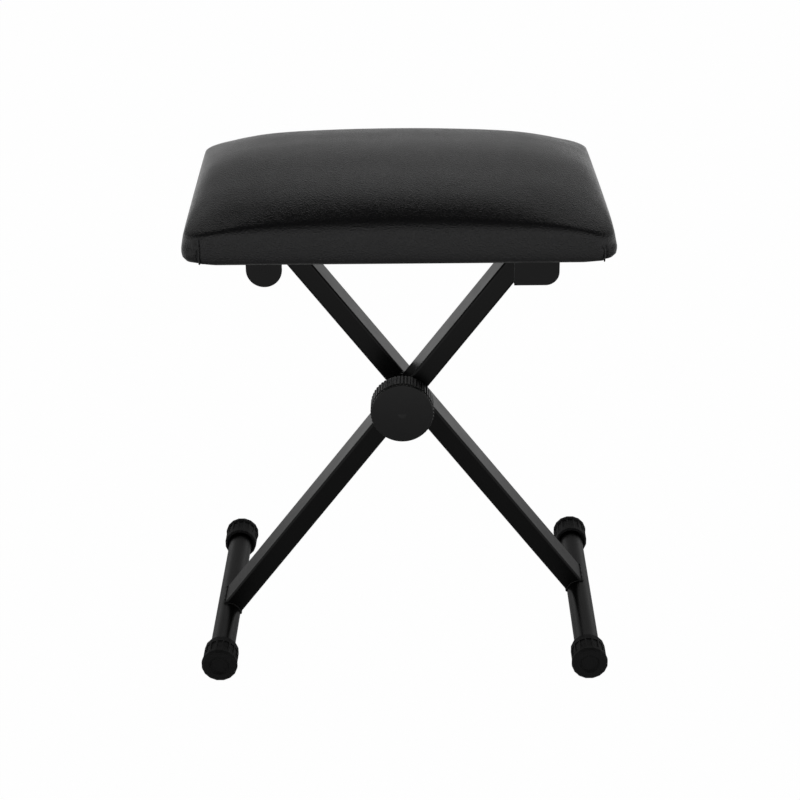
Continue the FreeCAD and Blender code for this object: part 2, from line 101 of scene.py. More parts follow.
# How much closer the points lie towards the corners, and the shares of the way round that the sides and
# corners have, before they are scaled to make one turn
COLUMN_CROWDING = 0.8
SHARE_X, SHARE_Y, SHARE_CORNER = 0.27, 0.19, 0.04

SEAT_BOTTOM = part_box("seat_cover")[0].z

# Camera: place in metres, turns in degrees, lens in millimetres
CAMERA_PLACE = (0.02038, -1.77913, 1.05349)
CAMERA_PITCH, CAMERA_YAW, CAMERA_ROLL = -24.37, -0.75, -0.73
CAMERA_LENS = 85.31

# Light of the room by the sine of the height above the horizon, and how much stronger it is in front
LIGHT_BY_HEIGHT = [(0.0, 0.56), (0.14, 0.48), (0.30, 0.37), (0.48, 0.29), (0.62, 0.05), (1.0, 0.03)]
FRONT_LIGHT = 1.75
FLOOR_COLOUR = (0.80, 0.80, 0.80)
FLOOR_EXTENT = 8.0
# Share of the floor that the camera sees as plain white; the rest keeps the shadow
FLOOR_SHOWN = 0.99
# A gloss shows the floor dim near the object and lighter further out, as a lit sweep is
FLOOR_IN_GLOSS, SWEEP_IN_GLOSS = 0.14, 0.9
SWEEP_FROM, SWEEP_TO = 0.6, 1.5

# Camera and stage
bpy.context.scene.view_settings.view_transform = "Standard"


def make_camera():
    """Camera at the photograph's place, found from the edges of the frame."""
    pitch, yaw, roll = math.radians(CAMERA_PITCH), math.radians(CAMERA_YAW), math.radians(CAMERA_ROLL)
    forward = Vector((math.sin(yaw) * math.cos(pitch), math.cos(yaw) * math.cos(pitch), math.sin(pitch)))
    level = Vector((math.cos(yaw), -math.sin(yaw), 0.0))
    upright = level.cross(forward)
    right = level * math.cos(roll) + upright * math.sin(roll)
    up = upright * math.cos(roll) - level * math.sin(roll)
    data = bpy.data.cameras.new("camera")
    data.lens = CAMERA_LENS
    data.sensor_width = 36.0
    data.clip_start, data.clip_end = 0.05, 60.0
    camera = bpy.data.objects.new("camera", data)
    turn = Matrix((right, up, -forward)).transposed().to_4x4()
    camera.matrix_world = Matrix.Translation(CAMERA_PLACE) @ turn
    bpy.context.scene.collection.objects.link(camera)
    bpy.context.scene.camera = camera


def combined(tree, operation, first, second):
    """One step of arithmetic on two values, of which the second may be a plain number."""
    node = tree.nodes.new("ShaderNodeMath")
    node.operation = operation
    tree.links.new(first, node.inputs[0])
    if isinstance(second, float):
        node.inputs[1].default_value = second
    else:
        tree.links.new(second, node.inputs[1])
    return node.outputs[0]


def seen_directly(tree, path):
    """1 for what the camera sees, also through clear things."""
    return combined(tree, "MAXIMUM", path.outputs["Is Camera Ray"], path.outputs["Is Transmission Ray"])


def make_floor():
    """Pale floor, white to the camera but for the object's shadow."""
    mesh = bpy.data.meshes.new("floor")
    far = FLOOR_EXTENT
    mesh.from_pydata([(-far, -far, 0), (far, -far, 0), (far, far, 0), (-far, far, 0)], [], [(0, 1, 2, 3)])
    floor = bpy.data.objects.new("floor", mesh)
    bpy.context.scene.collection.objects.link(floor)
    material = bpy.data.materials.new("pale_floor")
    material.use_nodes = True
    tree = material.node_tree
    tree.nodes.clear()
    out = tree.nodes.new("ShaderNodeOutputMaterial")
    matt = tree.nodes.new("ShaderNodeBsdfDiffuse")
    matt.inputs["Color"].default_value = (*FLOOR_COLOUR, 1)
    glow = tree.nodes.new("ShaderNodeEmission")
    glow.inputs["Color"].default_value = (1, 1, 1, 1)
    glow.inputs["Strength"].default_value = 1.0
    mix = tree.nodes.new("ShaderNodeMixShader")
    where = tree.nodes.new("ShaderNodeTexCoord")
    reach = tree.nodes.new("ShaderNodeVectorMath")
    reach.operation = "LENGTH"
    tree.links.new(where.outputs["Object"], reach.inputs[0])
    sweep = tree.nodes.new("ShaderNodeMapRange")
    sweep.inputs["From Min"].default_value = SWEEP_FROM
    sweep.inputs["From Max"].default_value = SWEEP_TO
    sweep.inputs["To Min"].default_value = FLOOR_IN_GLOSS
    sweep.inputs["To Max"].default_value = SWEEP_IN_GLOSS
    tree.links.new(reach.outputs["Value"], sweep.inputs["Value"])
    path = tree.nodes.new("ShaderNodeLightPath")
    direct = combined(tree, "MULTIPLY", seen_directly(tree, path), FLOOR_SHOWN)
    glossed = combined(tree, "MULTIPLY", path.outputs["Is Glossy Ray"], sweep.outputs["Result"])
    tree.links.new(combined(tree, "ADD", direct, glossed), mix.inputs[0])
    tree.links.new(matt.outputs[0], mix.inputs[1])
    tree.links.new(glow.outputs[0], mix.inputs[2])
    tree.links.new(mix.outputs[0], out.inputs["Surface"])
    floor.data.materials.append(material)


def make_world():
    """White behind the object. Its light fades towards a dimmer ceiling and is stronger in front."""
    world = bpy.data.worlds.new("studio")
    bpy.context.scene.world = world
    world.use_nodes = True
    tree = world.node_tree
    tree.nodes.clear()
    out = tree.nodes.new("ShaderNodeOutputWorld")
    where = tree.nodes.new("ShaderNodeTexCoord")
    parts = tree.nodes.new("ShaderNodeSeparateXYZ")
    tree.links.new(where.outputs["Generated"], parts.inputs[0])
    ramp = tree.nodes.new("ShaderNodeValToRGB")
    stops = ramp.color_ramp.elements
    stops[0].position, stops[0].color = 0.0, (*[LIGHT_BY_HEIGHT[0][1]] * 3, 1)
    stops[1].position, stops[1].color = 1.0, (*[LIGHT_BY_HEIGHT[-1][1]] * 3, 1)
    for place, level in LIGHT_BY_HEIGHT[1:-1]:
        stops.new(place).color = (level, level, level, 1)
    tree.links.new(parts.outputs["Z"], ramp.inputs[0])
    room = tree.nodes.new("ShaderNodeBackground")
    tree.links.new(ramp.outputs[0], room.inputs["Color"])
    front = tree.nodes.new("ShaderNodeMapRange")
    front.inputs["From Min"].default_value = 0.0
    front.inputs["From Max"].default_value = -0.8
    front.inputs["To Min"].default_value = 1.0
    front.inputs["To Max"].default_value = FRONT_LIGHT
    tree.links.new(parts.outputs["Y"], front.inputs["Value"])
    tree.links.new(front.outputs[0], room.inputs["Strength"])
    white = tree.nodes.new("ShaderNodeBackground")
    white.inputs["Color"].default_value = (1, 1, 1, 1)
    white.inputs["Strength"].default_value = 1.0
    path = tree.nodes.new("ShaderNodeLightPath")
    mix = tree.nodes.new("ShaderNodeMixShader")
    tree.links.new(seen_directly(tree, path), mix.inputs[0])
    tree.links.new(room.outputs[0], mix.inputs[1])
    tree.links.new(white.outputs[0], mix.inputs[2])
    tree.links.new(mix.outputs[0], out.inputs["Surface"])


def make_lamp(name, place, size, power):
    """Flat lamp that faces the middle of the object."""
    data = bpy.data.lights.new(name, "AREA")
    data.shape = "RECTANGLE"
    data.size, data.size_y = size
    data.energy = power
    lamp = bpy.data.objects.new(name, data)
    lamp.location = place
    aim = Vector((0, 0, 0.3)) - Vector(place)
    lamp.rotation_euler = aim.to_track_quat("-Z", "Y").to_euler()
    bpy.context.scene.collection.objects.link(lamp)


# Materials
def shader(name, colour, roughness, level=0.5):
    """A material with one Principled shader, its tree, the shader and the object's own coordinates."""
    material = bpy.data.materials.new(name)
    material.use_nodes = True
    tree = material.node_tree
    tree.nodes.clear()
    out = tree.nodes.new("ShaderNodeOutputMaterial")
    main = tree.nodes.new("ShaderNodeBsdfPrincipled")
    main.inputs["Base Color"].default_value = (*colour, 1)
    main.inputs["Roughness"].default_value = roughness
    main.inputs["Specular IOR Level"].default_value = level
    tree.links.new(main.outputs[0], out.inputs["Surface"])
    where = tree.nodes.new("ShaderNodeTexCoord").outputs["Object"]
    return material, tree, main, where


def noise(tree, where, scale, detail=2.0, roughness=0.5):
    """Cloudy value from 0 to 1."""
    node = tree.nodes.new("ShaderNodeTexNoise")
    node.inputs["Scale"].default_value = scale
    node.inputs["Detail"].default_value = detail
    node.inputs["Roughness"].default_value = roughness
    tree.links.new(where, node.inputs["Vector"])
    return node.outputs["Fac"]


def cells(tree, where, scale, feature="F1", smooth=None):
    """Distance to the middle of the nearest of many scattered cells."""
    node = tree.nodes.new("ShaderNodeTexVoronoi")
    node.feature = feature
    node.inputs["Scale"].default_value = scale
    if smooth is not None:
        node.inputs["Smoothness"].default_value = smooth
    tree.links.new(where, node.inputs["Vector"])
    return node.outputs["Distance"]


def spread(tree, value, low, high):
    """Stretches a 0 to 1 value to run from low to high."""
    node = tree.nodes.new("ShaderNodeMapRange")
    node.inputs["To Min"].default_value = low
    node.inputs["To Max"].default_value = high
    tree.links.new(value, node.inputs["Value"])
    return node.outputs["Result"]


# The colour sockets of a mix share their names with others, so they are known by place
MIX_FROM, MIX_TO, MIX_RESULT = 6, 7, 2


def between(tree, value, dark, light):
    """Colour that runs from dark to light."""
    node = tree.nodes.new("ShaderNodeMix")
    node.data_type = "RGBA"
    node.inputs[MIX_FROM].default_value = (*dark, 1)
    node.inputs[MIX_TO].default_value = (*light, 1)
    tree.links.new(value, node.inputs["Factor"])
    return node.outputs[MIX_RESULT]


def mottle(tree, where, main, scale, detail, low, high):
    """Lets the roughness wander between two values, in patches."""
    tree.links.new(spread(tree, noise(tree, where, scale, detail), low, high), main.inputs["Roughness"])


def bump(tree, value, depth, strength=1.0, under=None):
    """Relief of a given depth in metres, on top of another where one is given."""
    node = tree.nodes.new("ShaderNodeBump")
    node.inputs["Strength"].default_value = strength
    node.inputs["Distance"].default_value = depth
    tree.links.new(value, node.inputs["Height"])
    if under is not None:
        tree.links.new(under, node.inputs["Normal"])
    return node.outputs["Normal"]


def vinyl_material():
    """Black vinyl with a fine pebbled grain."""
    material, tree, main, where = shader("black_vinyl", (0.006, 0.006, 0.0065), 0.36, 0.38)
    grain = cells(tree, where, 800.0, "SMOOTH_F1", 0.5)
    wide = noise(tree, where, 230.0, 4.0, 0.65)
    fine = bump(tree, grain, 0.48 * MM, 1.0)
    both = bump(tree, wide, 0.45 * MM, 0.35, fine)
    tree.links.new(both, main.inputs["Normal"])
    mottle(tree, where, main, 38.0, 4.0, 0.25, 0.35)
    colour = between(tree, grain, (0.005, 0.005, 0.0056), (0.011, 0.011, 0.0118))
    tree.links.new(colour, main.inputs["Base Color"])
    return material


def paint_material(name, base):
    """Black powder coat with a slight orange peel."""
    material, tree, main, where = shader(name, (base, base, base), 0.32, 0.22)
    peel = noise(tree, where, 620.0, 2.0)
    tree.links.new(bump(tree, peel, 0.05 * MM, 0.5), main.inputs["Normal"])
    mottle(tree, where, main, 45.0, 4.0, 0.26, 0.38)
    return material


def rubber_material():
    """Matt black rubber."""
    material, tree, main, where = shader("black_rubber", (0.0075, 0.0075, 0.0078), 0.6, 0.25)
    tooth = noise(tree, where, 1500.0, 2.0)
    tree.links.new(bump(tree, tooth, 0.06 * MM, 0.5), main.inputs["Normal"])
    mottle(tree, where, main, 120.0, 3.0, 0.54, 0.72)
    return material


def knob_material():
    """Black moulded plastic with a satin face."""
    material, tree, main, where = shader("knob_plastic", (0.0075, 0.0075, 0.0077), 0.42, 0.35)
    tooth = noise(tree, where, 1900.0, 2.0)
    tree.links.new(bump(tree, tooth, 0.03 * MM, 0.5), main.inputs["Normal"])
    mottle(tree, where, main, 90.0, 3.0, 0.38, 0.5)
    return material


def nylon_material():
    """Black nylon of the bushes and liners."""
    material, tree, main, where = shader("black_nylon", (0.03, 0.03, 0.03), 0.5, 0.4)
    tree.links.new(bump(tree, noise(tree, where, 900.0), 0.03 * MM, 0.5), main.inputs["Normal"])
    return material


def zinc_material():
    """Zinc-plated steel."""
    material, tree, main, where = shader("zinc_plate", (0.55, 0.55, 0.56), 0.33)
    main.inputs["Metallic"].default_value = 1.0
    tree.links.new(bump(tree, noise(tree, where, 800.0, 4.0), 0.02 * MM, 0.6), main.inputs["Normal"])
    mottle(tree, where, main, 150.0, 4.0, 0.25, 0.45)
    return material


def brass_material():
    """Turned brass."""
    material, tree, main, where = shader("turned_brass", (0.62, 0.43, 0.17), 0.3)
    main.inputs["Metallic"].default_value = 1.0
    mottle(tree, where, main, 300.0, 4.0, 0.22, 0.4)
    return material


def plywood_material():
    """Bare plywood with its grain along the seat."""
    material, tree, main, where = shader("plywood", (0.5, 0.36, 0.2), 0.7)
    stretch = tree.nodes.new("ShaderNodeMapping")
    stretch.inputs["Scale"].default_value = (6.0, 90.0, 500.0)
    tree.links.new(where, stretch.inputs["Vector"])
    rings = noise(tree, stretch.outputs[0], 1.0, 4.0)
    colour = between(tree, rings, (0.42, 0.28, 0.14), (0.60, 0.45, 0.27))
    tree.links.new(colour, main.inputs["Base Color"])
    tree.links.new(bump(tree, rings, 0.1 * MM, 0.4), main.inputs["Normal"])
    return material


def foam_material():
    """Cut foam with open pores."""
    material, tree, main, where = shader("cut_foam", (0.72, 0.66, 0.45), 0.95, 0.2)
    pores = cells(tree, where, 1400.0)
    tree.links.new(bump(tree, pores, 0.3 * MM, 0.8), main.inputs["Normal"])
    return material


def cloth_material():
    """Black spun-bonded dust cloth: pressed dots and loose fibres."""
    material, tree, main, where = shader("dust_cloth_black", (0.02, 0.02, 0.02), 0.9, 0.2)
    dots = cells(tree, where, 700.0)
    fibres = noise(tree, where, 1400.0, 6.0, 0.7)
    pressed = bump(tree, dots, 0.15 * MM, 0.6)
    tree.links.new(bump(tree, fibres, 0.1 * MM, 0.6, pressed), main.inputs["Normal"])
    colour = between(tree, fibres, (0.012, 0.012, 0.012), (0.035, 0.035, 0.036))
    tree.links.new(colour, main.inputs["Base Color"])
    return material


# The padded seat
def smooth_row(table, t):
    """Point t along a table of rows, on a Catmull-Rom curve."""
    last = len(table) - 1
    k = min(int(t), last - 1)
    f = t - k
    before = table[k - 1] if k > 0 else [2 * a - b for a, b in zip(table[0], table[1])]
    after = table[k + 2] if k + 2 <= last else [2 * a - b for a, b in zip(table[last], table[last - 1])]
    row = []
    for p0, p1, p2, p3 in zip(before, table[k], table[k + 1], after):
        row.append(0.5 * (2 * p1 + (p2 - p0) * f + (2 * p0 - 5 * p1 + 4 * p2 - p3) * f * f
                          + (3 * p1 - p0 - 3 * p2 + p3) * f * f * f))
    return row


def profile_steps(table, count):
    """Values of t that divide the profile into equal lengths."""
    fine = 400
    places = []
    for i in range(fine + 1):
        height, _, sides_in, _ = smooth_row(table, i / fine * (len(table) - 1))
        places.append((height, sides_in))
    total = [0.0]
    for a, b in zip(places, places[1:]):
        total.append(total[-1] + math.hypot(b[0] - a[0], b[1] - a[1]))
    steps = []
    i = 0
    for k in range(count + 1):
        goal = total[-1] * k / count
        while i < fine and total[i + 1] < goal:
            i += 1
        span = max(total[min(i + 1, fine)] - total[i], 1e-9)
        steps.append((i + min(1.0, (goal - total[i]) / span)) / fine * (len(table) - 1))
    return steps


def on_rounded_rectangle(half_x, half_y, radius, u):
    """Point of a rounded rectangle's edge, at share u of the way round from the front's middle."""
    straight_x, straight_y = half_x - radius, half_y - radius
    # every row keeps the same columns on its corners, so the columns run straight up
    stretches = [
        (SHARE_X / 2, "first half", (0, -half_y), (straight_x, -half_y)),
        (SHARE_CORNER, "arc", (straight_x, -straight_y), -90),
        (SHARE_Y, "side", (half_x, -straight_y), (half_x, straight_y)),
        (SHARE_CORNER, "arc", (straight_x, straight_y), 0),
        (SHARE_X, "side", (straight_x, half_y), (-straight_x, half_y)),
        (SHARE_CORNER, "arc", (-straight_x, straight_y), 90),
        (SHARE_Y, "side", (-half_x, straight_y), (-half_x, -straight_y)),
        (SHARE_CORNER, "arc", (-straight_x, -straight_y), 180),
        (SHARE_X / 2, "last half", (-straight_x, -half_y), (0, -half_y)),
    ]
    at = u * sum(stretch[0] for stretch in stretches)
    for share, kind, a, b in stretches:
        if at > share + 1e-12:
            at -= share
            continue
        f = at / share
        if kind == "arc":
            angle = math.radians(b + 90 * f)
            return a[0] + radius * math.cos(angle), a[1] + radius * math.sin(angle)
        # the points crowd towards both ends of a side, and a half side has one such end
        if kind == "side":
            f -= COLUMN_CROWDING / (2 * math.pi) * math.sin(2 * math.pi * f)
        elif kind == "first half":
            f += COLUMN_CROWDING / math.pi * math.sin(math.pi * f) * 0.5
        else:
            f -= COLUMN_CROWDING / math.pi * math.sin(math.pi * f) * 0.5
        return a[0] + (b[0] - a[0]) * f, a[1] + (b[1] - a[1]) * f
    return 0.0, -half_y


def near(value, centre, width):
    """1 at the centre, falling to 0 over a few widths."""
    return math.exp(-((value - centre) / width) ** 2)


def ramp(value, low, high):
    """0 up to low, 1 from high on, and a soft slope between."""
    t = min(1.0, max(0.0, (value - low) / (high - low)))
    return t * t * (3 - 2 * t)


# Folds of the vinyl at the corners: x, which long side (-1 front, 1 rear) and height, in millimetres
CORNER_FOLDS = [(-184.5, -1, 28.0), (189.0, -1, 22.0), (-186.0, 1, 20.0), (186.5, 1, 20.0)]
# At a fold, in millimetres: how deep the tucked part and the slit lie, how far the panel beside them swells
# and how far the slit draws in
FOLD_TUCK, FOLD_SLIT, FOLD_SWELL, FOLD_DRAW = 2.0, 4.0, 0.7, 0.3
# Where the vinyl is drawn down over the corners, in millimetres: their places, how far the pull reaches over
# the crown and on the ridge, and its depth by long side and by corner
PULL_X, PULL_Y = 200.0, 145.0
CROWN_PULL, RIDGE_PULL = 90.0, 30.0
CORNER_DROP = {-1: 3.0, 1: 0.5}
RIDGE_DROP = {(-1, -1): 2.0, (1, -1): 5.0, (-1, 1): 2.0, (1, 1): 2.0}
# The crown is worked out from the form's rows above this height, each gap between rows cut this often
CROWN_FROM = 24.0
CROWN_CUTS = 60


def roll_table(column, middle):
    """Height of the crown at each millimetre in from an edge, evened out more the further in it is."""
    cuts = CROWN_CUTS * (len(CUSHION_FORM) - 1)
    rows = [smooth_row(CUSHION_FORM, i / CROWN_CUTS) for i in range(cuts + 1)]
    rows = [row for row in rows if row[0] > CROWN_FROM]
    raw = []
    k = 0
    for d in range(int(middle) + 1):
        while k < len(rows) - 1 and rows[k + 1][column] < d:
            k += 1
        if k < len(rows) - 1:
            span = rows[k + 1][column] - rows[k][column]
            share = min(1.0, max(0.0, (d - rows[k][column]) / span)) if span > 1e-6 else 0.0
            raw.append(rows[k][0] + share * (rows[k + 1][0] - rows[k][0]))
        else:
            t = (d - rows[-1][column]) / (middle - rows[-1][column])
            raw.append(rows[-1][0] + CROWN_RISE / MM * (2 * t - t * t))
    # the other half of the seat, so that the middle is evened out from both sides
    raw = raw + raw[-2::-1]
    table = []
    for d in range(int(middle) + 1):
        reach = min(14.0, max(0.3, (d - 7) * 0.30))
        total = weight = 0.0
        for j in range(-int(3 * reach), int(3 * reach) + 1):
            w = math.exp(-0.5 * (j / reach) ** 2)
            total += w * raw[max(0, d + j)]
            weight += w
        table.append(total / weight)
    return table


def read_table(table, d):
    """Value between the entries of a table of heights by millimetre."""
    d = min(max(d, 0.0), len(table) - 1.001)
    k = int(d)
    return table[k] + (d - k) * (table[k + 1] - table[k])


END_ROLL = roll_table(1, SEAT_HALF_X / MM)
SIDE_ROLL = roll_table(2, SEAT_HALF_Y / MM)


def crown_height(x, y):
    """The crown rolls off towards the ends and the long sides, and by both together at the corners."""
    end = read_table(END_ROLL, SEAT_HALF_X / MM - abs(x))
    side = read_table(SIDE_ROLL, SEAT_HALF_Y / MM - abs(y))
    return end + side - 0.5 * (END_ROLL[-1] + SIDE_ROLL[-1])


def on_crown(point):
    """Puts a point of the finished cushion's middle at the crown's height."""
    cosine, sine = math.cos(SEAT_TURN), math.sin(SEAT_TURN)
    px, py = (point.x - SEAT_SHIFT.x) / MM, (point.y - SEAT_SHIFT.y) / MM
    x, y = px * cosine + py * sine, -px * sine + py * cosine
    return placed(x, y, dropped(x, y, CUSHION_FORM[-1][0]))


def dropped(x, y, height):
    """Height of a point of the plain form once the vinyl is drawn down over the corners."""
    side, face = (1 if x > 0 else -1), (1 if y > 0 else -1)
    away = math.hypot(max(0.0, PULL_X - abs(x)), max(0.0, PULL_Y - abs(y)))
    drop = CORNER_DROP[-1] + (CORNER_DROP[1] - CORNER_DROP[-1]) * ramp(y, -90.0, 90.0)
    z = height + ramp(height, 26.0, 54.0) * (crown_height(x, y) - height)
    z -= drop * math.exp(-(away / CROWN_PULL) ** 2) * ramp(height, 20.0, 60.0)
    narrow = math.exp(-(away / RIDGE_PULL) ** 2) * ramp(height, 8.0, 22.0) * (1 - ramp(height, 30.0, 50.0))
    return z - RIDGE_DROP[(side, face)] * narrow


def shaped(x, y, height):
    """A point of the plain form moved to where the pulled vinyl puts it, all in millimetres."""
    side, face = (1 if x > 0 else -1), (1 if y > 0 else -1)
    z = dropped(x, y, height)
    # folds: the corner tucks under the flat panel beside it
    for fold_x, fold_face, reach in CORNER_FOLDS:
        if face != fold_face or side * fold_x < 0 or abs(y) < 120.0:
            continue
        beyond = (x - fold_x) * side
        high = 1 - ramp(height, reach * 0.6, reach)
        low = ramp(height, -2.0, 2.0)
        step = ramp(beyond, -0.4, 0.6) * (1 - ramp(beyond, 3.0, 12.0))
        slit = near(beyond, 0.5, 1.2)
        y -= face * high * (FOLD_TUCK * step + FOLD_SLIT * slit * low)
        # the panel swells a little beside its own edge
        y += face * high * FOLD_SWELL * near(beyond, -4.0, 3.5)
        x -= side * high * FOLD_DRAW * slit
    return x, y, z


def placed(x, y, z, share=1.0):
    """Turns, tilts and shifts the padded form as a whole; share eases the tilt off underneath."""
    cosine, sine = math.cos(SEAT_TURN), math.sin(SEAT_TURN)
    px, py = x * cosine - y * sine, x * sine + y * cosine
    return Vector((px * MM + SEAT_SHIFT.x, py * MM + SEAT_SHIFT.y,
                   SEAT_BOTTOM + z * MM + share * (SEAT_SHIFT.z + math.tan(SEAT_TILT) * px * MM)))


# Vinyl turned in under the board, from its inner edge out: inset, height and corner radius in millimetres,
# and how much of the seat's tilt each ring takes
UNDERSIDE_RINGS = [
    (37.0, 0.9, 14.0, 0.0),
    (37.6, 0.5, 14.0, 0.0),
    (37.0, 0.1, 14.0, 0.0),
    (30.0, 0.05, 16.0, 0.1),
    (22.0, 0.0, 18.0, 0.3),
    (15.0, -0.3, 20.0, 0.7),
]


def rim_sag(height):
    """How far the padding hangs at a height, in millimetres: all at the bottom edge, nothing further up."""
    return RIM_SAG / MM * (1 - ramp(height, 0.0, RIM_HEIGHT))


def cushion_loops():
    """Rings of points from under the board, round the edge and up to the crown."""
    loops = []
    count = CUSHION_COLUMNS
    half_x, half_y = SEAT_HALF_X / MM, SEAT_HALF_Y / MM
    for inset, z, radius, share in UNDERSIDE_RINGS:
        ring = []
        for k in range(count):
            x, y = on_rounded_rectangle(half_x - inset, half_y - inset, radius, k / count)
            ring.append(placed(x, y, z, share))
        loops.append(ring)
    for t in profile_steps(CUSHION_FORM, CUSHION_ROWS):
        height, ends_in, sides_in, radius = smooth_row(CUSHION_FORM, t)
        sag = rim_sag(height)
        ring = []
        for k in range(count):
            x, y = on_rounded_rectangle(half_x - ends_in, half_y - sides_in, radius, k / count)
            x, y, z = shaped(x, y, height)
            ring.append(placed(x, y, z - sag))
        loops.append(ring)
    return loops


def fill_crown(bm, ring):
    """Fills the last ring with a grid whose rows and columns start from its points."""
    n = len(ring)
    # columns counted from the middle of the front; the grid's corners lie on the arcs
    across = 2 * round(n * (SHARE_X + SHARE_CORNER) / 2)
    deep = n // 2 - across
    start = across // 2
    south = [ring[(k - start) % n] for k in range(across + 1)]
    east = [ring[(start + k) % n] for k in range(deep + 1)]
    north = [ring[(start + deep + across - k) % n] for k in range(across + 1)]
    west = [ring[(-start - k) % n] for k in range(deep + 1)]
    grid = [south]
    for j in range(1, deep):
        v = j / deep
        row = [west[j]]
        for i in range(1, across):
            u = i / across
            p = south[i].co * (1 - v) + north[i].co * v + west[j].co * (1 - u) + east[j].co * u
            p = p - (south[0].co * (1 - u) * (1 - v) + south[-1].co * u * (1 - v)
                     + north[0].co * (1 - u) * v + north[-1].co * u * v)
            row.append(bm.verts.new(p))
        row.append(east[j])
        grid.append(row)
    grid.append(north)
    for low, high in zip(grid, grid[1:]):
        for i in range(across):
            bm.faces.new((low[i], low[i + 1], high[i + 1], high[i]))


def make_cushion(material):
    """The padded seat in its plain form, closed underneath."""
    bm = bmesh.new()
    rings = []
    for ring in cushion_loops():
        rings.append([bm.verts.new(p) for p in ring])
    n = CUSHION_COLUMNS
    for low, high in zip(rings, rings[1:]):
        for k in range(n):
            bm.faces.new((low[k], low[(k + 1) % n], high[(k + 1) % n], high[k]))
    fill_crown(bm, rings[-1])
    bm.faces.new(list(reversed(rings[0])))
    bm.verts.ensure_lookup_table()
    for v in bm.verts[len(rings) * n:]:
        v.co = on_crown(v.co)
    bm.normal_update()
    mesh = bpy.data.meshes.new("seat_cushion")
    bm.to_mesh(mesh)
    bm.free()
    for polygon in mesh.polygons:
        polygon.use_smooth = True
    cushion = bpy.data.objects.new("seat_cushion", mesh)
    bpy.context.scene.collection.objects.link(cushion)
    mesh.materials.append(material)
    return cushion


def swelling(cushion):
    """Cloth simulation on a remeshed copy; returns how far each of its points moved, in a tree."""
    copy = cushion.copy()
    copy.data = cushion.data.copy()
    bpy.context.scene.collection.objects.link(copy)
    remesh = copy.modifiers.new("remesh", "REMESH")
    remesh.mode = "VOXEL"
    remesh.voxel_size = SWELL_GRAIN
    graph = bpy.context.evaluated_depsgraph_get()
    plain = bpy.data.meshes.new_from_object(copy.evaluated_get(graph))
    copy.modifiers.clear()
    copy.data = plain
    held = copy.vertex_groups.new(name="held")
    held.add([v.index for v in plain.vertices if v.co.z < SEAT_BOTTOM + SWELL_HELD], 1.0, "REPLACE")
    cloth = copy.modifiers.new("cloth", "CLOTH")
    cloth.settings.use_pressure = True
    cloth.settings.uniform_pressure_force = SWELL_PRESSURE
    cloth.settings.vertex_group_mass = "held"
    cloth.settings.effector_weights.gravity = 0.0
    cloth.settings.quality = 6
    cloth.point_cache.frame_start = 1
    cloth.point_cache.frame_end = SWELL_FRAMES
    start = [v.co.copy() for v in plain.vertices]
    scene = bpy.context.scene
    for frame_number in range(1, SWELL_FRAMES + 1):
        scene.frame_set(frame_number)
    graph = bpy.context.evaluated_depsgraph_get()
    moved = copy.evaluated_get(graph).to_mesh()
    tree = KDTree(len(start))
    steps = []
    for i, (a, b) in enumerate(zip(start, moved.vertices)):
        tree.insert(a, i)
        step = b.co - a
        if step.length > SWELL_CAP:
            step = step.normalized() * SWELL_CAP
        steps.append(step)
    tree.balance()
    copy.evaluated_get(graph).to_mesh_clear()
    bpy.data.objects.remove(copy)
    scene.frame_set(1)
    return tree, steps


def swell(cushion):
    """Carries a share of the simulated swelling over, less its mean, so that the outline stays where it was
    measured. Only what goes straight out of or into the surface counts."""
    tree, steps = swelling(cushion)
    mesh = cushion.data
    along = []
    for v in mesh.vertices:
        total, weight = Vector(), 0.0
        for _, i, distance in tree.find_range(v.co, SWELL_REACH):
            w = math.exp(-(distance / SWELL_REACH * 2) ** 2)
            total += steps[i] * w
            weight += w
        along.append((total / weight).dot(v.normal) if weight else 0.0)
    mean = sum(along) / len(along)
    normals = [v.normal.copy() for v in mesh.vertices]
    for v, step, normal in zip(mesh.vertices, along, normals):
        free = ramp(v.co.z, SEAT_BOTTOM + SWELL_FROM, SEAT_BOTTOM + SWELL_FULL)
        v.co += normal * (step - mean) * free * SWELL_SHARE


# Beads, welds and the cloth underneath
def joined(name, pieces, material):
    """One object from lists of (points, faces)."""
    points, faces = [], []
    for some, many in pieces:
        first = len(points)
        points += some
        faces += [tuple(first + i for i in face) for face in many]
    mesh = bpy.data.meshes.new(name)
    mesh.from_pydata(points, [], faces)
    mesh.materials.append(material)
    for polygon in mesh.polygons:
        polygon.use_smooth = True
    thing = bpy.data.objects.new(name, mesh)
    bpy.context.scene.collection.objects.link(thing)
    return thing


# A direction that no path here runs along
OFF_AXIS = Vector((0.31, 0.17, 0.93))


def cord_mesh(path, radius_at, closed, sides=8):
    """Round bead or wire along a path; radius_at gives its radius at each point."""
    points, faces = [], []
    n = len(path)
    for i, p in enumerate(path):
        before = path[i - 1] if closed or i else path[0]
        after = path[(i + 1) % n] if closed or i < n - 1 else path[-1]
        along = (after - before).normalized()
        out = along.cross(OFF_AXIS).normalized()
        up = along.cross(out)
        for k in range(sides):
            t = 2 * math.pi * k / sides
            points.append(p + (out * math.cos(t) + up * math.sin(t)) * radius_at(i))
    for i in range(n if closed else n - 1):
        j = (i + 1) % n
        for k in range(sides):
            m = (k + 1) % sides
            faces.append((i * sides + k, i * sides + m, j * sides + m, j * sides + k))
    if not closed:
        faces.append(tuple(range(sides)))
        faces.append(tuple(reversed([(n - 1) * sides + k for k in range(sides)])))
    return points, faces


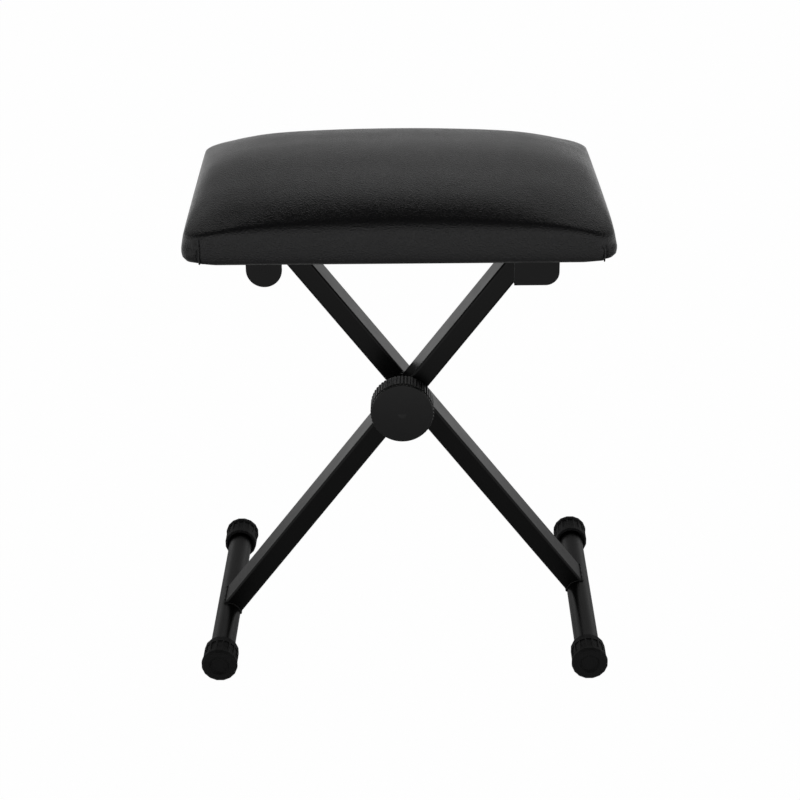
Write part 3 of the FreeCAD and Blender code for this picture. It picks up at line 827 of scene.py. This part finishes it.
def make_corner_folds(material):
    """Rolled edges of the vinyl where it is folded over at the corners."""
    beads = []
    half_y = SEAT_HALF_Y / MM
    for fold_x, face, reach in CORNER_FOLDS:
        side = 1 if fold_x > 0 else -1
        path = []
        for t in profile_steps(CUSHION_FORM, 90):
            height, _, sides_in, _ = smooth_row(CUSHION_FORM, t)
            if height < 1.2:
                continue
            if height > reach:
                break
            x, y = fold_x - side * 0.9, face * (half_y - sides_in)
            path.append(placed(x, y + face * 0.15, dropped(x, y, height) - rim_sag(height)))
        end = len(path) - 1
        beads.append(cord_mesh(path, lambda i: (0.75 - 0.5 * ramp(i / end, 0.7, 1.0)) * MM, False))
    folds = joined("corner_folds", beads, material)
    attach(folds, "seat")


# How far a weld bead's centre stands off the metal; its radius, even ripple and chance part in millimetres
WELD_OFF = 0.3 * MM
WELD_RADIUS, WELD_RIPPLE, WELD_CHANCE = 1.25, 0.16, 0.08


def weld_bead(side, place, upward):
    """Bead where a leg meets a round tube at place. upward tells if the leg goes up from it."""
    lean = Vector((side * math.cos(LEAN), 0, math.sin(LEAN)))
    along = lean if upward else -lean
    across = Vector((-lean.z, 0, lean.x))
    path = []
    steps = 150
    for k in range(steps):
        half_w, half_d = LEG_WIDTH / 2 + WELD_OFF, LEG_DEPTH / 2 + WELD_OFF
        w, y = on_rounded_rectangle(half_w, half_d, LEG_CORNER, k / steps)
        reach = math.sqrt(max((TUBE_RADIUS + WELD_OFF) ** 2 - w * w, 0.0))
        path.append(place + along * reach + across * w + Vector((0, y, 0)))
    ripple = random.Random(7)
    size = []
    for k in range(steps):
        size.append((WELD_RADIUS + WELD_RIPPLE * math.sin(k * 1.25) + WELD_CHANCE * ripple.random()) * MM)
    return cord_mesh(path, lambda i: size[i], True)


def make_welds(material):
    """Beads at both ends of both legs."""
    foot_x, foot_z = LOWER_REACH * math.cos(LEAN), CAP_RADIUS
    pivot_x = UPPER_REACH * math.cos(LEAN)
    pivot_z = foot_z + (LOWER_REACH + UPPER_REACH) * math.sin(LEAN)
    leg_y = (LEG_GAP + LEG_DEPTH) / 2
    for name, side, y in (("front", 1, -leg_y), ("rear", -1, leg_y)):
        beads = [weld_bead(side, Vector((-side * foot_x, y, foot_z)), True),
                 weld_bead(side, Vector((side * pivot_x, y, pivot_z)), False)]
        welds = joined(name + "_leg_welds", beads, material)
        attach(welds, name + "_leg_frame")


# Staples along the long edges and along the ends of the cloth: how many, and how far the first lies from the
# corner; then how far all lie in from the edge, half their length and the radius of their wire
LONG_STAPLES, LONG_STAPLE_FROM = 12, 14 * MM
END_STAPLES, END_STAPLE_FROM = 8, 16 * MM
STAPLE_INSET, STAPLE_HALF, STAPLE_WIRE = 7 * MM, 5 * MM, 0.32 * MM


def half_sizes(low, high):
    """Half the length and half the depth of a box."""
    return (high.x - low.x) / 2, (high.y - low.y) / 2


def staple_spots(half_x, half_y):
    """Place and turn of each staple, along the long edges and then along the ends."""
    spots = []
    long_run = 2 * half_x - 2 * LONG_STAPLE_FROM
    for i in range(LONG_STAPLES):
        x = -half_x + LONG_STAPLE_FROM + i * long_run / (LONG_STAPLES - 1)
        spots += [(x, -half_y + STAPLE_INSET, 0.0), (x, half_y - STAPLE_INSET, 0.0)]
    end_run = 2 * half_y - 2 * END_STAPLE_FROM
    for i in range(END_STAPLES):
        y = -half_y + END_STAPLE_FROM + i * end_run / (END_STAPLES - 1)
        spots += [(-half_x + STAPLE_INSET, y, math.pi / 2), (half_x - STAPLE_INSET, y, math.pi / 2)]
    return spots


def make_dust_cloth(material, low, high):
    """Cloth stretched under the board, its long edges puckered between the staples."""
    half_x, half_y = half_sizes(low, high)
    middle = (low.z + high.z) / 2
    across, deep = 116, 80
    long_run = 2 * half_x - 2 * LONG_STAPLE_FROM
    sides = []
    for face in (-1, 1):
        points = []
        for j in range(deep + 1):
            for i in range(across + 1):
                x, y = half_x * (2 * i / across - 1), half_y * (2 * j / deep - 1)
                edge = min(half_x - abs(x), half_y - abs(y))
                # one pucker between every two staples of a long edge
                turn = x / long_run * 2 * math.pi * (LONG_STAPLES - 1)
                pucker = 0.10 * MM * math.cos(turn) * ramp(edge, 0.045, 0.0)
                sag = -0.05 * MM * math.sin(x * 41) * math.sin(y * 57 + 1)
                points.append(Vector((x, y, middle + pucker * 0.8 + sag + face * 0.12 * MM)))
        sides.append(points)
    points = sides[0] + sides[1]
    row, layer = across + 1, (across + 1) * (deep + 1)
    faces = []
    for j in range(deep):
        for i in range(across):
            a = j * row + i
            faces.append((a, a + row, a + row + 1, a + 1))
            faces.append((layer + a, layer + a + 1, layer + a + row + 1, layer + a + row))
    rim = list(range(across)) + [across + j * row for j in range(deep)]
    rim += [deep * row + across - i for i in range(across)] + [(deep - j) * row for j in range(deep)]
    for k, a in enumerate(rim):
        b = rim[(k + 1) % len(rim)]
        faces.append((a, b, layer + b, layer + a))
    sheet = joined("underside_cloth", [(points, faces)], material)
    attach(sheet, "seat")
    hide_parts("dust_cloth")


def make_staples(material, low, high):
    """Staples that hold the cloth, each a little askew."""
    wires = []
    skew = random.Random(3)
    for x, y, turn in staple_spots(*half_sizes(low, high)):
        turn += skew.uniform(-0.12, 0.12)
        along = Vector((math.cos(turn), math.sin(turn), 0))
        at = Vector((x, y, low.z - 0.1 * MM))
        up = Vector((0, 0, 0.9 * MM))
        path = [at - along * STAPLE_HALF + up, at - along * 4.9 * MM, at - along * 4.4 * MM - up * 0.25,
                at + along * 4.4 * MM - up * 0.25, at + along * 4.9 * MM, at + along * STAPLE_HALF + up]
        wires.append(cord_mesh(path, lambda i: STAPLE_WIRE, False, 6))
    staples = joined("dust_cloth_staples", wires, material)
    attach(staples, "seat")


# Putting it together
def finish_cad(looks):
    """Gives every CAD node its material."""
    for names, material in looks:
        for name in names:
            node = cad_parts[name]
            node.data.materials.clear()
            node.data.materials.append(material)


def smooth_knob_cap():
    """Shades the domed face of the knob as one surface and keeps its edges crisp."""
    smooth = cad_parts["knob_cap"].modifiers.new("weighted", "WEIGHTED_NORMAL")
    smooth.keep_sharp = True


make_camera()
make_floor()
make_world()
make_lamp("rear_softbox", (0.3, 1.75, 1.95), (2.4, 1.0), 4.4)

spun_cloth = cloth_material()
paint = paint_material("black_powder_coat", 0.0022)
vinyl = vinyl_material()
rubber = rubber_material()
plastic = knob_material()
nylon = nylon_material()
zinc = zinc_material()
finish_cad([
    (["rear_leg", "front_leg", "left_cross_tube", "right_cross_tube", "left_foot_tube", "right_foot_tube",
      "rear_lock_disc", "front_lock_disc"], paint),
    (["front_pivot_bracket", "rear_pivot_bracket", "front_slide_bracket", "rear_slide_bracket",
      "pivot_studs"], paint_material("bracket_powder_coat", 0.0050)),
    (["pivot_bolt", "rear_pivot_sleeve", "front_pivot_sleeve", "steel_washer", "bracket_screws",
      "board_tee_nuts"], zinc),
    (["right_front_foot_cap", "right_rear_foot_cap", "left_front_foot_cap", "left_rear_foot_cap"], rubber),
    (["left_tube_bushes", "right_tube_glides", "slide_liners", "thrust_washer"], nylon),
    (["knob_body", "knob_cap"], plastic),
    (["knob_insert"], brass_material()),
    (["seat_board"], plywood_material()),
    (["seat_cover"], vinyl),
    (["seat_foam"], foam_material()),
    (["dust_cloth"], spun_cloth),
])

cushion = make_cushion(vinyl)
swell(cushion)
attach(cushion, "seat")
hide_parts("seat_cover", "seat_foam")
cloth_low, cloth_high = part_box("dust_cloth")
make_dust_cloth(spun_cloth, cloth_low, cloth_high)
make_staples(zinc, cloth_low, cloth_high)
make_welds(paint)
make_corner_folds(vinyl)
smooth_knob_cap()
